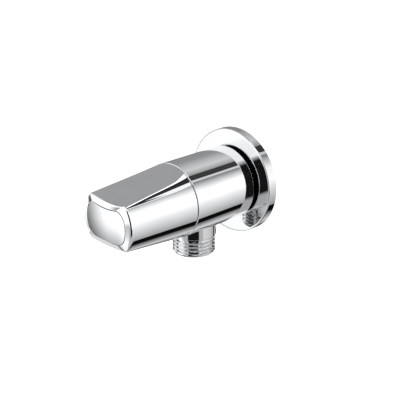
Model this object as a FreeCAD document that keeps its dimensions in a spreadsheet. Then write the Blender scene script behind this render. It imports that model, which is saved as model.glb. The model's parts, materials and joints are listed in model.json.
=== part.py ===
import FreeCAD, Part
import math
import os
import re

import PartDesign
import Sketcher

# Angle stop valve, modelled around its own axis. Each body is drawn in a local frame:
# local X is the part's +X, local Y is up and local Z runs out of the wall along the handle.
# The placement turns that frame so that the wall is the plane y = 0 and the handle points to -Y.
# Parts of the outlet are drawn with local Z pointing down out of the outlet instead.

DIMENSIONS = {
    # valve body, radii and distances from the wall plane
    "body_r": 18.3,
    "body_rear_s": 7.1,
    "body_front_s": 44.6,
    "body_edge": 0.45,
    "neck_r": 12.0,
    "neck_end_s": 0.9,
    "skirt_neck_r": 15.4,
    "skirt_neck_s": 49.9,
    "bonnet_bore_r": 10.98,
    "chamber_floor_s": 24.4,
    "seat_bore_r": 9.2,
    "seat_s": 19.0,
    "waterway_r": 6.0,
    # pipe threads, G 1/2: crest, root, pitch and the width left on each crest
    "thread_r": 10.4775,
    "thread_root_r": 9.316,
    "thread_pitch": 1.814,
    "crest_w": 0.32,
    "root_w": 0.24,
    "thread_chamfer": 0.9,
    "inlet_tip_s": -17.0,
    "inlet_relief_s": -1.4,
    "inlet_groove_s": -14.9,
    # outlet, distances down from the valve axis
    "outlet_s": 30.3,
    "outlet_tip_w": 30.0,
    "outlet_neck_r": 11.0,
    "outlet_neck_w": 20.6,
    "outlet_shoulder_w": 14.5,
    "outlet_seat_w": 13.2,
    "outlet_screw_r": 8.0,
    "outlet_screw_w": 11.3,
    # wall flange
    "flange_r": 26.5,
    "flange_face_s": 5.2,
    "flange_wall": 1.6,
    "flange_edge": 0.5,
    "hub_bore_r": 12.3,
    "hub_r": 15.6,
    "hub_rear_s": 0.6,
    "hub_groove_r": 13.4,
    "hub_groove_s": 2.3,
    "hub_groove_w": 1.5,
    # ceramic headwork
    "headwork_r": 9.0,
    "headwork_thread_r": 10.9,
    "headwork_end_s": 20.7,
    "headwork_flange_s": 49.95,
    "headwork_flange_r": 12.6,
    "hex_s": 51.2,
    "hex_top_s": 54.7,
    "hex_inner_r": 10.5,
    "hex_corner_r": 12.124,
    "hex_corner_half": 6.062,
    "headwork_top_s": 58.0,
    "headwork_neck_r": 7.2,
    "disc_bore_r": 7.6,
    "disc_bore_top_s": 36.2,
    "window_mid_s": 30.5,
    "window_half_h": 3.5,
    "window_half_w": 4.5,
    "shoulder_s": 40.5,
    "shoulder_r": 5.6,
    "stem_bore_r": 4.06,
    "stop_floor_s": 56.4,
    "stop_rim_r": 5.9,
    # stem
    "stem_r": 4.0,
    "stem_root_r": 3.62,
    "stem_top_s": 70.0,
    "spline_low_s": 61.6,
    "stem_flange_r": 5.4,
    "stem_flange_top_s": 39.6,
    "stem_flange_low_s": 37.6,
    "stem_shank_r": 4.6,
    "fork_top_s": 34.6,
    "fork_low_s": 26.3,
    "fork_half_w": 2.6,
    "fork_half_l": 6.9,
    "tongue_low_s": 24.9,
    "tongue_half_w": 1.5,
    "tongue_half_l": 4.5,
    "oring_groove_r": 2.9,
    "lower_oring_s": 44.2,
    "upper_oring_s": 48.2,
    "clip_groove_s": 60.0,
    "clip_groove_r": 3.35,
    "clip_groove_w": 1.0,
    "screw_hole_r": 2.05,
    "screw_hole_s": 60.4,
    # ceramic discs
    "disc_r": 7.52,
    "fixed_disc_s": 21.1,
    "disc_joint_s": 23.4,
    "disc_gap": 0.02,
    "port_inner_r": 2.6,
    "port_outer_r": 5.7,
    "slot_floor_s": 24.8,
    "seal_r": 7.5,
    "support_r": 6.15,
    "support_bore_r": 5.3,
    "moving_disc_top_s": 25.9,
    "lug_half_w": 1.5,
    "lug_r": 8.8,
    # handle: section at the seam and section at the front, half widths and heights
    "handle_rear_s": 45.0,
    "handle_front_s": 84.0,
    "seam_top_x": 10.757,
    "seam_top_y": 14.805,
    "seam_side_x": 14.42,
    "seam_side_y": 11.267,
    "front_mid_top": 9.4,
    "front_top_x": 12.2,
    "front_top_y": 11.25,
    "front_side_x": 13.2,
    "front_side_y": 10.4,
    "front_side_r": 16.8,
    "front_low_side_x": 13.3,
    "front_low_side_y": 10.25,
    "front_low_x": 12.2,
    "front_low_y": 11.0,
    "front_mid_low": 11.5,
    "bezel_s": 85.1,
    "plate_mid_top": 7.25,
    "plate_top_x": 8.9,
    "plate_top_y": 8.3,
    "plate_side_x": 12.2,
    "plate_side_y": 5.9,
    "plate_side_r": 13.55,
    "plate_low_side_x": 11.9,
    "plate_low_side_y": 6.45,
    "plate_low_x": 9.1,
    "plate_low_y": 8.45,
    "plate_mid_low": 8.75,
    "cap_gap": 0.25,
    "cap_floor_s": 82.5,
    "cap_back_s": 82.7,
    "cap_dome": 0.4,
    "cap_spigot_r": 4.9,
    "cap_spigot_s": 79.4,
    "skirt_r": 15.76,
    "skirt_end_s": 50.6,
    "cavity_r": 14.9,
    "cavity_top_x": 8.758,
    "cavity_top_y": 12.054,
    "cavity_side_x": 11.741,
    "cavity_side_y": 9.174,
    "cavity_end_s": 76.0,
    "cavity_end_mid": 8.9,
    "cavity_end_top_x": 9.4,
    "cavity_end_top_y": 9.2,
    "cavity_end_side_x": 10.9,
    "cavity_end_side_y": 8.0,
    "cavity_end_r": 14.2,
    "cavity_end_low": 9.6,
    "boss_r": 10.0,
    "boss_low_s": 62.0,
    "insert_r": 7.6,
    "screw_pocket_r": 5.2,
    # spline insert, handle screw, rings
    "insert_low_s": 62.4,
    "insert_web_s": 70.3,
    "insert_web_top_s": 72.4,
    "insert_top_s": 75.8,
    "insert_bore_r": 4.05,
    "screw_r": 1.98,
    "screw_head_r": 3.5,
    "screw_low_s": 61.2,
    "screw_head_top_s": 75.0,
}

ALIAS = re.compile(r"[A-Za-z_]\w*")
TERM = re.compile(r"([+-]?)\s*([A-Za-z_]\w*|\d+\.?\d*)")

doc = FreeCAD.newDocument("angle_stop_valve")
sheet = doc.addObject("Spreadsheet::Sheet", "Dims")
for row, (alias, number) in enumerate(DIMENSIONS.items(), start=1):
    sheet.set("A%d" % row, alias)
    sheet.set("B%d" % row, str(number))
    sheet.setAlias("B%d" % row, alias)
doc.recompute()

OUT = FreeCAD.Rotation(FreeCAD.Vector(1, 0, 0), 90)
DOWN = FreeCAD.Rotation(FreeCAD.Vector(1, 0, 0), 180)
nodes = []


def number(text):
    """The value of a sum of aliases and plain numbers, such as 'body_r - body_edge'."""
    total = 0.0
    for sign, name in TERM.findall(str(text)):
        value = DIMENSIONS[name] if name in DIMENSIONS else float(name)
        total += -value if sign == "-" else value
    return total


def bound(text):
    """The same sum as an expression on the spreadsheet."""
    return ALIAS.sub(lambda found: "Dims." + found.group(0), str(text))


def negated(text):
    """The same sum with every sign turned round."""
    return " ".join(("+ " if sign == "-" else "- ") + name for sign, name in TERM.findall(text))


def new_body(label, outlet=False):
    """An empty body in the part's frame: along the valve axis, or down along the outlet axis."""
    body = doc.addObject("PartDesign::Body", label)
    body.Label = label
    if outlet:
        body.Placement = FreeCAD.Placement(FreeCAD.Vector(0, -number("outlet_s"), 0), DOWN)
        body.setExpression("Placement.Base.y", "-Dims.outlet_s")
    else:
        body.Placement = FreeCAD.Placement(FreeCAD.Vector(0, 0, 0), OUT)
    nodes.append(body)
    return body


def plane_of(body, role):
    return [f for f in body.Origin.OriginFeatures if f.Role == role][0]


def new_sketch(body, name, role="XZ_Plane", lift=None):
    """A sketch on one of the body's own planes, lifted along its normal when lift is given."""
    sketch = body.newObject("Sketcher::SketchObject", name)
    sketch.AttachmentSupport = [(plane_of(body, role), "")]
    sketch.MapMode = "FlatFace"
    if lift is not None:
        sketch.AttachmentOffset = FreeCAD.Placement(
            FreeCAD.Vector(0, 0, number(lift)), FreeCAD.Rotation()
        )
        sketch.setExpression("AttachmentOffset.Base.z", bound(lift))
    return sketch


def pin_point(sketch, geometry, position, x, y):
    """Hold a sketch point at two spreadsheet distances from the origin."""
    for kind, axis, text in (("DistanceX", -2, x), ("DistanceY", -1, y)):
        if number(text) == 0:
            sketch.addConstraint(Sketcher.Constraint("PointOnObject", geometry, position, axis))
        else:
            held = sketch.addConstraint(
                Sketcher.Constraint(kind, -1, 1, geometry, position, number(text))
            )
            sketch.setExpression("Constraints[%d]" % held, bound(text))


def outline(sketch, corners):
    """A closed outline. A corner is (x, y), or (x, y, mid_x, mid_y) when the side that starts
    there is an arc through the mid point."""
    count = len(corners)
    first = sketch.GeometryCount
    for i, corner in enumerate(corners):
        here = FreeCAD.Vector(number(corner[0]), number(corner[1]), 0)
        after = corners[(i + 1) % count]
        there = FreeCAD.Vector(number(after[0]), number(after[1]), 0)
        if len(corner) == 4:
            middle = FreeCAD.Vector(number(corner[2]), number(corner[3]), 0)
            sketch.addGeometry(Part.Arc(here, middle, there), False)
        else:
            sketch.addGeometry(Part.LineSegment(here, there), False)
    ends = []
    for i, corner in enumerate(corners):
        here = FreeCAD.Vector(number(corner[0]), number(corner[1]), 0)
        start = sketch.getPoint(first + i, 1)
        ends.append((1, 2) if start.distanceToPoint(here) < 1e-6 else (2, 1))
    for i, corner in enumerate(corners):
        after = (i + 1) % count
        sketch.addConstraint(
            Sketcher.Constraint("Coincident", first + i, ends[i][1], first + after, ends[after][0])
        )
        pin_point(sketch, first + i, ends[i][0], corner[0], corner[1])
    for i, corner in enumerate(corners):
        if len(corner) == 4:
            middle = FreeCAD.Vector(number(corner[2]), number(corner[3]), 0)
            point = sketch.addGeometry(Part.Point(middle), True)
            sketch.addConstraint(Sketcher.Constraint("PointOnObject", point, 1, first + i))
            pin_point(sketch, point, 1, corner[2], corner[3])


def circle(sketch, radius, x="0", y="0"):
    """A circle with its radius and centre held by the spreadsheet."""
    centre = FreeCAD.Vector(number(x), number(y), 0)
    ring = sketch.addGeometry(Part.Circle(centre, FreeCAD.Vector(0, 0, 1), number(radius)), False)
    held = sketch.addConstraint(Sketcher.Constraint("Radius", ring, number(radius)))
    sketch.setExpression("Constraints[%d]" % held, bound(radius))
    if number(x) == 0 and number(y) == 0:
        sketch.addConstraint(Sketcher.Constraint("Coincident", ring, 3, -1, 1))
    else:
        pin_point(sketch, ring, 3, x, y)


def volume(body):
    doc.recompute()
    return body.Shape.Volume


def checked(body, feature, before, grows):
    """Stop if a feature that should add or remove material did neither."""
    after = volume(body)
    changed = after > before + 1e-3 if grows else after < before - 1e-3
    if not changed:
        raise RuntimeError("%s in %s changed nothing" % (feature.Name, body.Label))
    return feature


def turned(body, name, corners, cut=False):
    """Revolve an outline of (radius, distance) about the body's own axis."""
    before = volume(body) if body.Tip else 0.0
    sketch = new_sketch(body, name + "_section")
    outline(sketch, corners)
    kind = "PartDesign::Groove" if cut else "PartDesign::Revolution"
    feature = body.newObject(kind, name)
    feature.Profile = sketch
    feature.ReferenceAxis = (sketch, ["V_Axis"])
    feature.Angle = 360.0
    return checked(body, feature, before, not cut)


def lofted(body, name, low, low_s, high, high_s, cut=False):
    """A ruled loft between two outlines at two distances from the wall."""
    before = volume(body) if body.Tip else 0.0
    first = new_sketch(body, name + "_low", "XY_Plane", low_s)
    outline(first, low)
    second = new_sketch(body, name + "_high", "XY_Plane", high_s)
    outline(second, high)
    kind = "PartDesign::SubtractiveLoft" if cut else "PartDesign::AdditiveLoft"
    feature = body.newObject(kind, name)
    feature.Profile = first
    feature.Sections = [second]
    feature.Ruled = True
    return checked(body, feature, before, not cut)


def straight(body, name, draw, low_s, length, cut=False, role="XY_Plane", back=False):
    """Pad or pocket a sketch from a lifted plane; draw adds the sketch's outlines."""
    before = volume(body) if body.Tip else 0.0
    sketch = new_sketch(body, name + "_sketch", role, low_s)
    draw(sketch)
    feature = body.newObject("PartDesign::Pocket" if cut else "PartDesign::Pad", name)
    feature.Profile = sketch
    feature.Length = number(length)
    feature.setExpression("Length", bound(length))
    feature.Reversed = back
    return checked(body, feature, before, not cut)


def repeated(body, name, feature, kind, count, **settings):
    """A linear or polar pattern of one feature, which becomes the body's tip."""
    before = volume(body)
    pattern = body.newObject("PartDesign::" + kind, name)
    pattern.Originals = [feature]
    pattern.Occurrences = count
    for key, value in settings.items():
        setattr(pattern, key, value)
    body.Tip = pattern
    doc.recompute()
    if abs(body.Shape.Volume - before) < 1e-3:
        raise RuntimeError("%s in %s changed nothing" % (name, body.Label))
    return pattern


def rectangle(half_x, half_y, x="0", y="0"):
    """A drawing function for a rectangle about a centre."""

    def draw(sketch):
        right, left = "%s + %s" % (x, half_x), "%s %s" % (x, negated(half_x))
        top, bottom = "%s + %s" % (y, half_y), "%s %s" % (y, negated(half_y))
        outline(sketch, [(right, top), (left, top), (left, bottom), (right, bottom)])

    return draw


def ring(label, outer, inner, low, high, outlet=False, edge=0.0):
    """A plain flat ring, with small bevels on its outer edges when edge is given."""
    body = new_body(label, outlet)
    if edge:
        corners = [
            (inner, low), ("%s - %s" % (outer, edge), low), (outer, "%s + %s" % (low, edge)),
            (outer, "%s - %s" % (high, edge)), ("%s - %s" % (outer, edge), high), (inner, high),
        ]
    else:
        corners = [(inner, low), (outer, low), (outer, high), (inner, high)]
    turned(body, label + "_ring", corners)
    return body


def o_ring(label, centre_r, cord_r, at, outlet=False):
    """A round-section ring whose centre circle lies at a distance along the axis."""
    body = new_body(label, outlet)
    sketch = new_sketch(body, label + "_section")
    circle(sketch, cord_r, centre_r, at)
    feature = body.newObject("PartDesign::Revolution", label + "_ring")
    feature.Profile = sketch
    feature.ReferenceAxis = (sketch, ["V_Axis"])
    feature.Angle = 360.0
    return checked(body, feature, 0.0, True)


def sector(sketch, inner, outer, start_deg, end_deg):
    """A ring sector between two radii and two angles about the axis."""
    low, high = number(inner), number(outer)
    x_axis, z_axis = FreeCAD.Vector(1, 0, 0), FreeCAD.Vector(0, 0, 1)
    ray_low = FreeCAD.Rotation(z_axis, start_deg).multVec(x_axis)
    ray_high = FreeCAD.Rotation(z_axis, end_deg).multVec(x_axis)
    ray_mid = FreeCAD.Rotation(z_axis, (start_deg + end_deg) / 2).multVec(x_axis)
    sketch.addGeometry(Part.LineSegment(ray_low * low, ray_low * high), False)
    sketch.addGeometry(Part.Arc(ray_low * high, ray_mid * high, ray_high * high), False)
    sketch.addGeometry(Part.LineSegment(ray_high * high, ray_high * low), False)
    sketch.addGeometry(Part.Arc(ray_low * low, ray_mid * low, ray_high * low), False)
    for one, one_end, other, other_end in ((0, 2, 1, 1), (1, 2, 2, 1), (2, 2, 3, 2), (3, 1, 0, 1)):
        sketch.addConstraint(Sketcher.Constraint("Coincident", one, one_end, other, other_end))
    for arc, text in ((1, outer), (3, inner)):
        sketch.addConstraint(Sketcher.Constraint("Coincident", arc, 3, -1, 1))
        held = sketch.addConstraint(Sketcher.Constraint("Radius", arc, number(text)))
        sketch.setExpression("Constraints[%d]" % held, bound(text))
    for line, ray in ((0, ray_low), (2, ray_high)):
        guide = sketch.addGeometry(Part.LineSegment(FreeCAD.Vector(), ray * low), True)
        sketch.addConstraint(Sketcher.Constraint("Coincident", guide, 1, -1, 1))
        end = (line, 1) if line == 0 else (line, 2)
        sketch.addConstraint(Sketcher.Constraint("Coincident", guide, 2, *end))
        sketch.addConstraint(Sketcher.Constraint("Parallel", guide, line))
        turn = start_deg if line == 0 else end_deg
        sketch.addConstraint(Sketcher.Constraint("Angle", -1, 1, guide, 1, math.radians(turn)))


def thread_grooves(body, name, first, count):
    """V grooves at the pipe thread's pitch, leaving a narrow flat on each crest."""
    top = (DIMENSIONS["thread_pitch"] - DIMENSIONS["crest_w"]) / 2
    root = DIMENSIONS["root_w"] / 2
    depth = DIMENSIONS["thread_r"] - DIMENSIONS["thread_root_r"]
    clear = 0.3
    widen = clear * (top - root) / depth
    before = volume(body)
    sketch = new_sketch(body, name + "_section")
    outline(sketch, [
        ("thread_root_r", "%s + %.4f" % (first, root)),
        ("thread_r + %.4f" % clear, "%s + %.4f" % (first, top + widen)),
        ("thread_r + %.4f" % clear, "%s - %.4f" % (first, top + widen)),
        ("thread_root_r", "%s - %.4f" % (first, root)),
    ])
    groove = body.newObject("PartDesign::Groove", name)
    groove.Profile = sketch
    groove.ReferenceAxis = (sketch, ["V_Axis"])
    groove.Angle = 360.0
    checked(body, groove, before, False)
    return repeated(
        body, name + "_row", groove, "LinearPattern", count,
        Direction=(sketch, ["V_Axis"]), Length=(count - 1) * DIMENSIONS["thread_pitch"],
    )


# ---- valve body -------------------------------------------------------------------------------
valve_body = new_body("valve_body")
turned(valve_body, "body_turned", [
    ("waterway_r", "inlet_tip_s"),
    ("thread_r - thread_chamfer", "inlet_tip_s"),
    ("thread_r", "inlet_tip_s + thread_chamfer"),
    ("thread_r", "inlet_relief_s"),
    ("thread_root_r", "inlet_relief_s + 0.6"),
    ("thread_root_r", "neck_end_s"),
    ("neck_r", "neck_end_s"),
    ("neck_r", "body_rear_s"),
    ("body_r - body_edge", "body_rear_s"),
    ("body_r", "body_rear_s + body_edge"),
    ("body_r", "body_front_s - body_edge"),
    ("body_r - body_edge", "body_front_s"),
    ("skirt_neck_r", "body_front_s"),
    ("skirt_neck_r", "skirt_neck_s - 0.5"),
    ("skirt_neck_r - 0.5", "skirt_neck_s"),
    ("bonnet_bore_r + 0.6", "skirt_neck_s"),
    ("bonnet_bore_r", "skirt_neck_s - 0.6"),
    ("bonnet_bore_r", "chamber_floor_s"),
    ("seat_bore_r", "chamber_floor_s - 1.2"),
    ("seat_bore_r", "seat_s"),
    ("waterway_r", "seat_s"),
])
straight(valve_body, "outlet_screw_bore", lambda s: circle(s, "outlet_screw_r + 0.05", "0", "outlet_s"),
         "0", "body_r + 1", cut=True, role="XZ_Plane", back=True)
straight(valve_body, "outlet_counterbore", lambda s: circle(s, "outlet_neck_r + 0.1", "0", "outlet_s"),
         "outlet_seat_w", "body_r - outlet_seat_w + 1", cut=True, role="XZ_Plane", back=True)
thread_grooves(valve_body, "inlet_thread", "inlet_groove_s", 8)

# ---- outlet -----------------------------------------------------------------------------------
outlet_nipple = new_body("outlet_nipple", outlet=True)
turned(outlet_nipple, "nipple_turned", [
    ("waterway_r", "outlet_screw_w"),
    ("outlet_screw_r - 0.4", "outlet_screw_w"),
    ("outlet_screw_r", "outlet_screw_w + 0.4"),
    ("outlet_screw_r", "outlet_shoulder_w"),
    ("outlet_neck_r", "outlet_shoulder_w"),
    ("outlet_neck_r", "outlet_neck_w - 0.3"),
    ("outlet_neck_r - 0.3", "outlet_neck_w"),
    ("thread_r", "outlet_neck_w"),
    ("thread_r", "outlet_tip_w - thread_chamfer"),
    ("thread_r - thread_chamfer", "outlet_tip_w"),
    ("waterway_r + 0.5", "outlet_tip_w"),
    ("waterway_r", "outlet_tip_w - 0.5"),
])
thread_grooves(outlet_nipple, "outlet_thread", "outlet_neck_w + 1.53", 4)
o_ring("outlet_oring", "9.3", "0.6", "outlet_seat_w + 0.65", outlet=True)

# ---- wall flange ------------------------------------------------------------------------------
escutcheon = new_body("escutcheon")
turned(escutcheon, "flange_turned", [
    ("hub_bore_r", "hub_rear_s"),
    ("hub_r", "hub_rear_s"),
    ("hub_r", "flange_face_s - flange_wall"),
    ("flange_r - flange_wall", "flange_face_s - flange_wall"),
    ("flange_r - flange_wall", "0"),
    ("flange_r", "0"),
    ("flange_r", "flange_face_s - flange_edge", "flange_r - 0.146", "flange_face_s - 0.146"),
    ("flange_r - flange_edge", "flange_face_s"),
    ("hub_bore_r", "flange_face_s"),
    ("hub_bore_r", "hub_groove_s + hub_groove_w"),
    ("hub_groove_r", "hub_groove_s + hub_groove_w"),
    ("hub_groove_r", "hub_groove_s"),
    ("hub_bore_r", "hub_groove_s"),
])
o_ring("escutcheon_oring", "neck_r + 0.7", "0.65", "hub_groove_s + 0.75")
ring("wall_gasket", "flange_r - flange_wall - 0.4", "hub_r + 2.4",
     "0.1", "flange_face_s - flange_wall - 0.05")
ring("inlet_thread_seal", "thread_r + 1.1", "thread_root_r + 0.02",
     "inlet_relief_s + 0.75", "neck_end_s - 0.05")

# ---- ceramic headwork -------------------------------------------------------------------------
headwork = new_body("headwork_housing")
turned(headwork, "housing_turned", [
    ("disc_bore_r", "headwork_end_s"),
    ("headwork_r", "headwork_end_s"),
    ("headwork_r", "37.4"),
    ("headwork_thread_r", "38.6"),
    ("headwork_thread_r", "48.3"),
    ("headwork_thread_r - 0.7", "48.7"),
    ("headwork_thread_r - 0.7", "headwork_flange_s"),
    ("headwork_flange_r", "headwork_flange_s"),
    ("headwork_flange_r", "hex_s"),
    ("hex_inner_r", "hex_s"),
    ("headwork_neck_r", "hex_s + 1"),
    ("headwork_neck_r", "headwork_top_s - 0.3"),
    ("headwork_neck_r - 0.3", "headwork_top_s"),
    ("stem_bore_r", "headwork_top_s"),
    ("stem_bore_r", "shoulder_s"),
    ("shoulder_r", "shoulder_s"),
    ("shoulder_r", "disc_bore_top_s"),
    ("disc_bore_r", "disc_bore_top_s"),
])


def hexagon_ring(sketch):
    """The spanner hexagon, left open around the headwork's neck."""
    outline(sketch, [
        ("hex_corner_r", "0"),
        ("hex_corner_half", "hex_inner_r"),
        ("- hex_corner_half", "hex_inner_r"),
        ("- hex_corner_r", "0"),
        ("- hex_corner_half", "- hex_inner_r"),
        ("hex_corner_half", "- hex_inner_r"),
    ])
    circle(sketch, "headwork_neck_r - 0.5")


straight(headwork, "spanner_hex", hexagon_ring, "hex_s - 0.2", "hex_top_s - hex_s + 0.2")
for side in (True, False):
    straight(headwork, "window_up" if side else "window_down",
             rectangle("window_half_w", "window_half_h", "0", "window_mid_s"),
             "0", "headwork_r + 2", cut=True, role="XZ_Plane", back=side)
straight(headwork, "lug_notches", rectangle("headwork_r + 1", "lug_half_w + 0.05"),
         "headwork_end_s - 0.5", "3.3", cut=True, back=True)
straight(headwork, "stop_notch",
         lambda s: sector(s, "stop_rim_r", "headwork_neck_r + 1", -8.0, 98.0),
         "stop_floor_s", "3", cut=True, back=True)
o_ring("headwork_oring", "headwork_thread_r - 0.32", "0.36", "49.3")

# ---- stem and what turns with it --------------------------------------------------------------
stem = new_body("stem")
turned(stem, "stem_turned", [
    ("0", "fork_top_s - 0.8"),
    ("stem_shank_r", "fork_top_s - 0.8"),
    ("stem_shank_r", "stem_flange_low_s"),
    ("stem_flange_r", "stem_flange_low_s"),
    ("stem_flange_r", "stem_flange_top_s"),
    ("stem_r", "stem_flange_top_s"),
    ("stem_r", "lower_oring_s - 0.85"),
    ("oring_groove_r", "lower_oring_s - 0.85"),
    ("oring_groove_r", "lower_oring_s + 0.85"),
    ("stem_r", "lower_oring_s + 0.85"),
    ("stem_r", "upper_oring_s - 0.85"),
    ("oring_groove_r", "upper_oring_s - 0.85"),
    ("oring_groove_r", "upper_oring_s + 0.85"),
    ("stem_r", "upper_oring_s + 0.85"),
    ("stem_r", "clip_groove_s"),
    ("clip_groove_r", "clip_groove_s"),
    ("clip_groove_r", "clip_groove_s + clip_groove_w"),
    ("stem_r", "clip_groove_s + clip_groove_w"),
    ("stem_r", "stem_top_s - 0.5"),
    ("stem_r - 0.5", "stem_top_s"),
    ("screw_hole_r", "stem_top_s"),
    ("screw_hole_r", "screw_hole_s"),
    ("0", "screw_hole_s - 1.1"),
])
straight(stem, "fork", rectangle("fork_half_w", "fork_half_l"), "fork_low_s", "fork_top_s - fork_low_s")
straight(stem, "tongue", rectangle("tongue_half_w", "tongue_half_l"), "tongue_low_s",
         "fork_low_s - tongue_low_s + 0.1")


def tooth(root, tip, half_w):
    """A drawing function for one triangular spline space or rib."""
    return lambda s: outline(s, [(root, "0"), (tip, half_w), (tip, negated(half_w))])


SPLINE_TEETH = 20
spline_space = straight(stem, "spline_space", tooth("stem_root_r", "stem_r + 0.3", "0.45"),
                        "spline_low_s", "stem_top_s - spline_low_s + 1", cut=True, back=True)
repeated(stem, "splines", spline_space, "PolarPattern", SPLINE_TEETH,
         Axis=(spline_space.Profile[0], ["N_Axis"]), Angle=360.0)

o_ring("stem_oring_lower", "3.48", "0.54", "lower_oring_s")
o_ring("stem_oring_upper", "3.48", "0.54", "upper_oring_s")
ring("thrust_washer", "stem_flange_r + 0.1", "stem_r + 0.08",
     "stem_flange_top_s + 0.03", "shoulder_s - 0.05")

stop_washer = ring("stop_washer", "headwork_neck_r - 0.2", "stem_r + 0.03",
                   "headwork_top_s + 0.35", "headwork_top_s + 1.75", edge=0.2)
straight(stop_washer, "stop_tab",
         lambda s: sector(s, "stop_rim_r + 0.25", "headwork_neck_r - 0.25", -6.0, 6.0),
         "stop_floor_s + 0.3", "headwork_top_s - stop_floor_s + 0.5")

stem_circlip = ring("stem_circlip", "stem_flange_r + 0.3", "clip_groove_r + 0.03",
                    "clip_groove_s + 0.05", "clip_groove_s + clip_groove_w - 0.05")
straight(stem_circlip, "clip_gap", rectangle("1.4", "stem_flange_r + 1", "0", "stem_flange_r + 1"),
         "clip_groove_s - 0.5", "2", cut=True, back=True)

# ---- ceramic discs and the seal below them ----------------------------------------------------
fixed_disc = ring("fixed_disc", "disc_r", "0", "fixed_disc_s", "disc_joint_s")
straight(fixed_disc, "lugs", rectangle("lug_r", "lug_half_w"),
         "fixed_disc_s", "disc_joint_s - fixed_disc_s")
moving_disc = ring("moving_disc", "disc_r", "0", "disc_joint_s + disc_gap", "moving_disc_top_s")
straight(moving_disc, "drive_slot", rectangle("tongue_half_w + 0.05", "tongue_half_l + 0.1"),
         "slot_floor_s", "moving_disc_top_s - slot_floor_s + 1", cut=True, back=True)
for disc, first_deg in ((fixed_disc, 90.0), (moving_disc, 0.0)):
    for half_turn in (0.0, 180.0):
        middle = first_deg + half_turn
        straight(disc, "%s_port_%d" % (disc.Label, middle),
                 lambda s: sector(s, "port_inner_r", "port_outer_r", middle - 38.0, middle + 38.0),
                 "fixed_disc_s - 1", "8", cut=True, back=True)
ring("seat_seal", "seal_r", "support_r + 0.05", "seat_s + 0.05", "fixed_disc_s - 0.05")
ring("seal_support_ring", "support_r", "support_bore_r", "seat_s + 0.1", "fixed_disc_s - 0.1")

# ---- handle -----------------------------------------------------------------------------------


def section(mid_top, top, side, side_r, low_side, low, mid_low):
    """The handle's cross-section: four curved sides joined by four narrow facets."""
    return [
        (top[0], top[1], "0", mid_top),
        (negated(top[0]), top[1]),
        (negated(side[0]), side[1], negated(side_r), "0"),
        (negated(low_side[0]), negated(low_side[1])),
        (negated(low[0]), negated(low[1]), "0", negated(mid_low)),
        (low[0], negated(low[1])),
        (low_side[0], negated(low_side[1]), side_r, "0"),
        (side[0], side[1]),
    ]


SEAM = section("body_r", ("seam_top_x", "seam_top_y"), ("seam_side_x", "seam_side_y"), "body_r",
               ("seam_side_x", "seam_side_y"), ("seam_top_x", "seam_top_y"), "body_r")
FRONT = section("front_mid_top", ("front_top_x", "front_top_y"), ("front_side_x", "front_side_y"),
                "front_side_r", ("front_low_side_x", "front_low_side_y"),
                ("front_low_x", "front_low_y"), "front_mid_low")
PLATE = section("plate_mid_top", ("plate_top_x", "plate_top_y"), ("plate_side_x", "plate_side_y"),
                "plate_side_r", ("plate_low_side_x", "plate_low_side_y"),
                ("plate_low_x", "plate_low_y"), "plate_mid_low")
CAVITY = section("cavity_r", ("cavity_top_x", "cavity_top_y"), ("cavity_side_x", "cavity_side_y"),
                 "cavity_r", ("cavity_side_x", "cavity_side_y"), ("cavity_top_x", "cavity_top_y"),
                 "cavity_r")
CAVITY_END = section("cavity_end_mid", ("cavity_end_top_x", "cavity_end_top_y"),
                     ("cavity_end_side_x", "cavity_end_side_y"), "cavity_end_r",
                     ("cavity_end_side_x", "cavity_end_side_y"),
                     ("cavity_end_top_x", "cavity_end_top_y"), "cavity_end_low")

handle = new_body("handle")
lofted(handle, "handle_form", SEAM, "handle_rear_s", FRONT, "handle_front_s")
lofted(handle, "handle_bezel", FRONT, "handle_front_s", PLATE, "bezel_s")
straight(handle, "skirt_bore", lambda s: circle(s, "skirt_r"), "handle_rear_s - 1",
         "skirt_end_s - handle_rear_s + 1", cut=True, back=True)
lofted(handle, "handle_cavity", CAVITY, "skirt_end_s - 0.01", CAVITY_END, "cavity_end_s", cut=True)
straight(handle, "insert_boss", lambda s: circle(s, "boss_r"),
         "boss_low_s", "cavity_end_s - boss_low_s + 0.5")
straight(handle, "insert_bore", lambda s: circle(s, "insert_r + 0.03"), "boss_low_s - 1",
         "cavity_end_s - boss_low_s + 1", cut=True, back=True)
straight(handle, "screw_pocket", lambda s: circle(s, "screw_pocket_r"), "cavity_end_s - 1",
         "cap_floor_s - cavity_end_s + 2", cut=True, back=True)
straight(handle, "cap_recess", lambda s: outline(s, PLATE), "cap_floor_s",
         "bezel_s - cap_floor_s + 1", cut=True, back=True)

CAP = section(
    "plate_mid_top - cap_gap", ("plate_top_x - cap_gap", "plate_top_y - cap_gap"),
    ("plate_side_x - cap_gap", "plate_side_y - cap_gap"), "plate_side_r - cap_gap",
    ("plate_low_side_x - cap_gap", "plate_low_side_y - cap_gap"),
    ("plate_low_x - cap_gap", "plate_low_y - cap_gap"), "plate_mid_low - cap_gap",
)
handle_cap = new_body("handle_cap")
straight(handle_cap, "cap_plate", lambda s: outline(s, CAP), "cap_back_s", "bezel_s - cap_back_s + 0.6")
turned(handle_cap, "cap_face", [
    ("0", "bezel_s + cap_dome", "7.5", "bezel_s + cap_dome - 0.125"),
    ("15", "bezel_s + cap_dome - 0.5"),
    ("15", "bezel_s + 2"),
    ("0", "bezel_s + 2"),
], cut=True)
turned(handle_cap, "cap_spigot", [
    ("3.6", "cap_spigot_s"),
    ("cap_spigot_r - 0.3", "cap_spigot_s"),
    ("cap_spigot_r", "cap_spigot_s + 0.3"),
    ("cap_spigot_r", "cap_spigot_s + 1.0"),
    ("cap_spigot_r - 0.7", "cap_spigot_s + 1.0"),
    ("cap_spigot_r - 0.7", "cap_spigot_s + 2.2"),
    ("cap_spigot_r", "cap_spigot_s + 2.2"),
    ("cap_spigot_r", "cap_back_s + 0.1"),
    ("3.6", "cap_back_s + 0.1"),
])
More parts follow.
